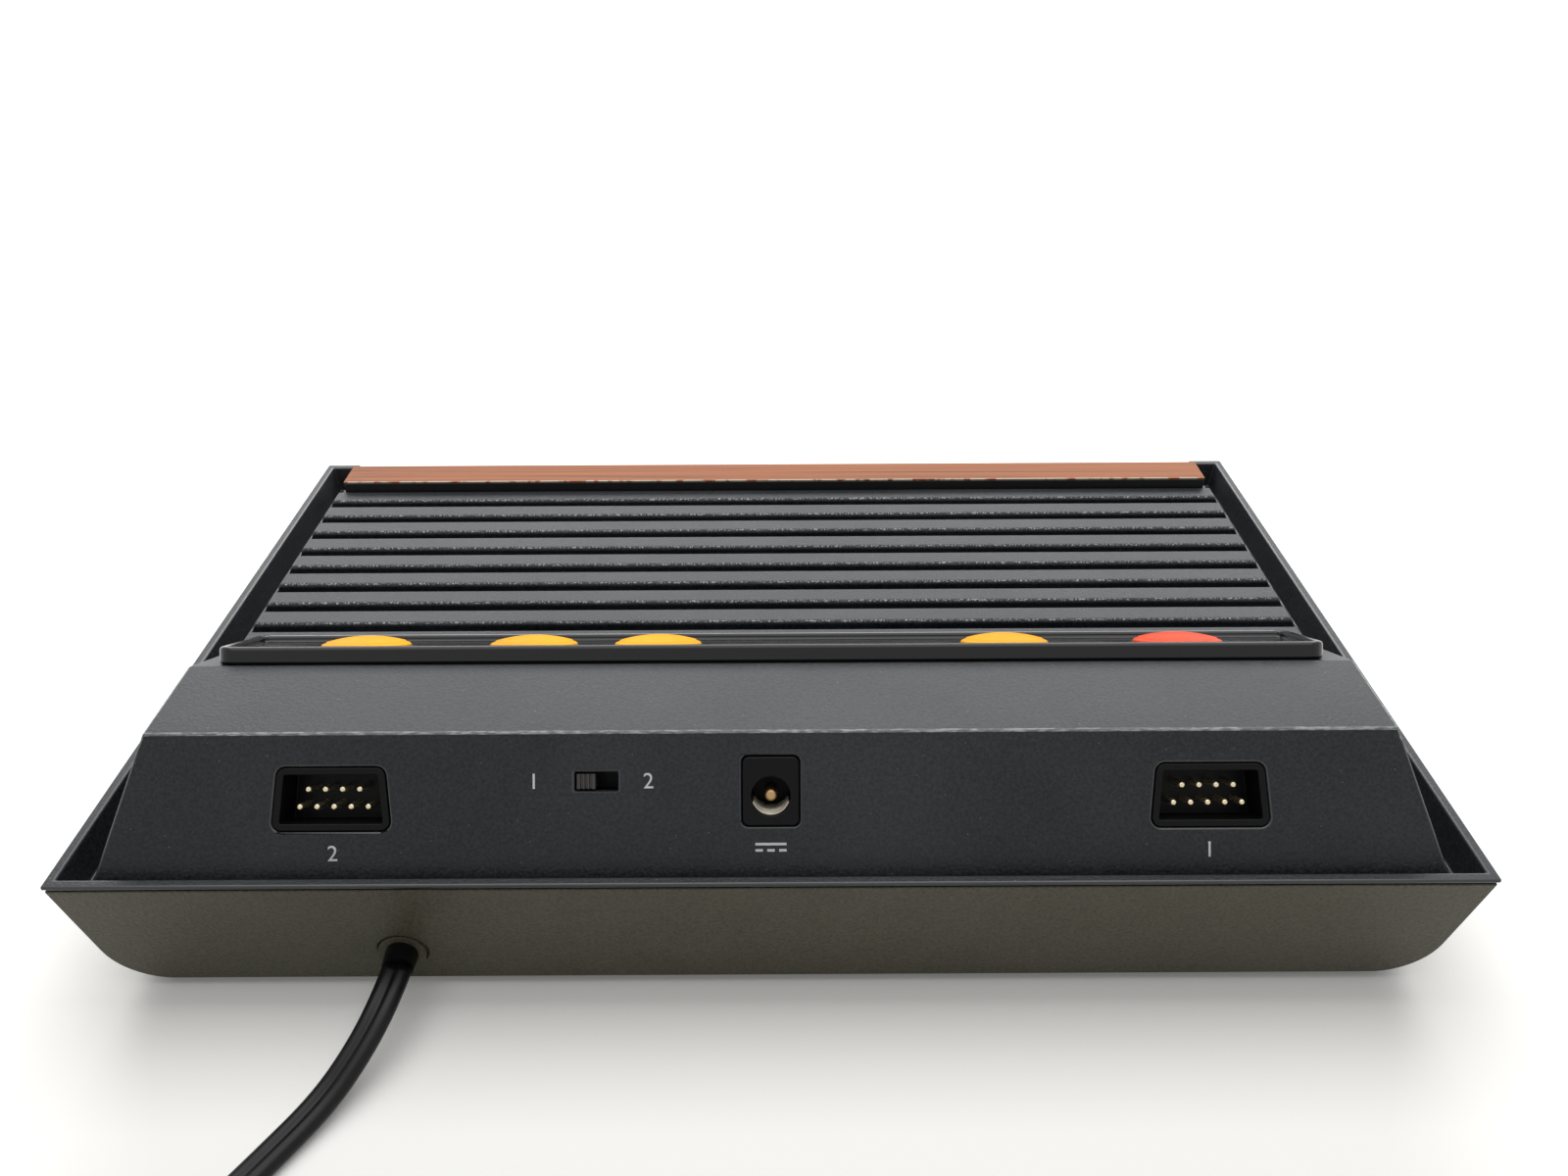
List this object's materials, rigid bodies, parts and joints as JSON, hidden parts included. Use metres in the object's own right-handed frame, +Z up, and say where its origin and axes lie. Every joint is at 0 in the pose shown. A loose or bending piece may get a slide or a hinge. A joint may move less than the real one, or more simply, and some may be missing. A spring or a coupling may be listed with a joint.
{
  "type": "game console",
  "caption": "Small table-top game console: rimmed drafted case, ribbed deck, raised hood with push buttons, rear sockets, slide switch and a coiled audio-video lead.",
  "frame": {"origin": "floor point under the middle of the case", "axes": "+X along the case's long side, +Y to the rear with the sockets, +Z up"},
  "size_m": [0.2896, 0.2819, 0.0481],
  "materials": {
    "case_plastic": "spark-eroded charcoal moulding",
    "trim_plastic": "black moulding",
    "wood_film": "printed wood-grain film, satin",
    "bezel_plastic": "polished black moulding",
    "orange_button": "polished moulding",
    "red_button": "polished moulding",
    "key_plastic": "moulded",
    "circuit_board": "solder mask",
    "port_plastic": "moulded",
    "gold_pins": "gold plated",
    "plated_contact": "nickel plated",
    "knob_plastic": "ridged",
    "capacitor_can": "drawn can",
    "flat_cable": "extruded",
    "screw_steel": "zinc plated",
    "foot_rubber": "moulded",
    "cord_jacket": "extruded, satin",
    "tie_plastic": "moulded",
    "yellow_grip": "moulded",
    "white_grip": "moulded"
  },
  "bodies": {
    "housing": {"lower_case": "case_plastic", "upper_case": "case_plastic", "front_trim_bar": "trim_plastic", "wood_film": "wood_film", "control_bezel": "bezel_plastic", "key_bodies": "key_plastic", "button_board": "circuit_board", "rear_board": "circuit_board", "main_board": "circuit_board", "port_one_housing": "port_plastic", "port_two_housing": "port_plastic", "port_one_pins": "gold_pins", "port_two_pins": "gold_pins", "jack_body": "port_plastic", "jack_pin": "plated_contact", "jack_spring": "plated_contact", "slide_body": "port_plastic", "processor": "key_plastic", "capacitors": "capacitor_can", "regulator": "key_plastic", "rear_cable": "flat_cable", "button_cable": "flat_cable", "case_screws": "screw_steel", "board_screws": "screw_steel", "rubber_feet": "foot_rubber", "cord_grommet": "cord_jacket", "av_cord": "cord_jacket", "av_cord_coil": "cord_jacket", "av_cord_tail": "cord_jacket", "cord_sleeve": "cord_jacket", "cord_tie": "tie_plastic", "video_lead": "cord_jacket", "audio_lead": "cord_jacket", "video_plug_grip": "yellow_grip", "audio_plug_grip": "white_grip", "video_plug_contact": "plated_contact", "audio_plug_contact": "plated_contact"},
    "power_button": {"power_button": "orange_button", "power_button_plunger": "key_plastic"},
    "level_button_one": {"level_button_one": "orange_button", "level_button_one_plunger": "key_plastic"},
    "level_button_two": {"level_button_two": "orange_button", "level_button_two_plunger": "key_plastic"},
    "select_button": {"select_button": "orange_button", "select_button_plunger": "key_plastic"},
    "start_button": {"start_button": "red_button", "start_button_plunger": "key_plastic"},
    "slide_knob": {"slide_knob": "knob_plastic"}
  },
  "joints": [
    {"name": "power_button_press", "type": "slide", "parent": "housing", "child": "power_button", "axis": [0, 0.4924, -0.8704], "range_m": [0, 0.0015], "stiffness_N_per_m": 600, "springref_m": -0.001},
    {"name": "level_button_one_press", "type": "slide", "parent": "housing", "child": "level_button_one", "axis": [0, 0.4924, -0.8704], "range_m": [0, 0.0015], "stiffness_N_per_m": 600, "springref_m": -0.001},
    {"name": "level_button_two_press", "type": "slide", "parent": "housing", "child": "level_button_two", "axis": [0, 0.4924, -0.8704], "range_m": [0, 0.0015], "stiffness_N_per_m": 600, "springref_m": -0.001},
    {"name": "select_button_press", "type": "slide", "parent": "housing", "child": "select_button", "axis": [0, 0.4924, -0.8704], "range_m": [0, 0.0015], "stiffness_N_per_m": 600, "springref_m": -0.001},
    {"name": "start_button_press", "type": "slide", "parent": "housing", "child": "start_button", "axis": [0, 0.4924, -0.8704], "range_m": [0, 0.0015], "stiffness_N_per_m": 600, "springref_m": -0.001},
    {"name": "slide_switch_move", "type": "slide", "parent": "housing", "child": "slide_knob", "axis": [-1, 0, 0], "range_m": [0, 0.0034]}
  ]
}
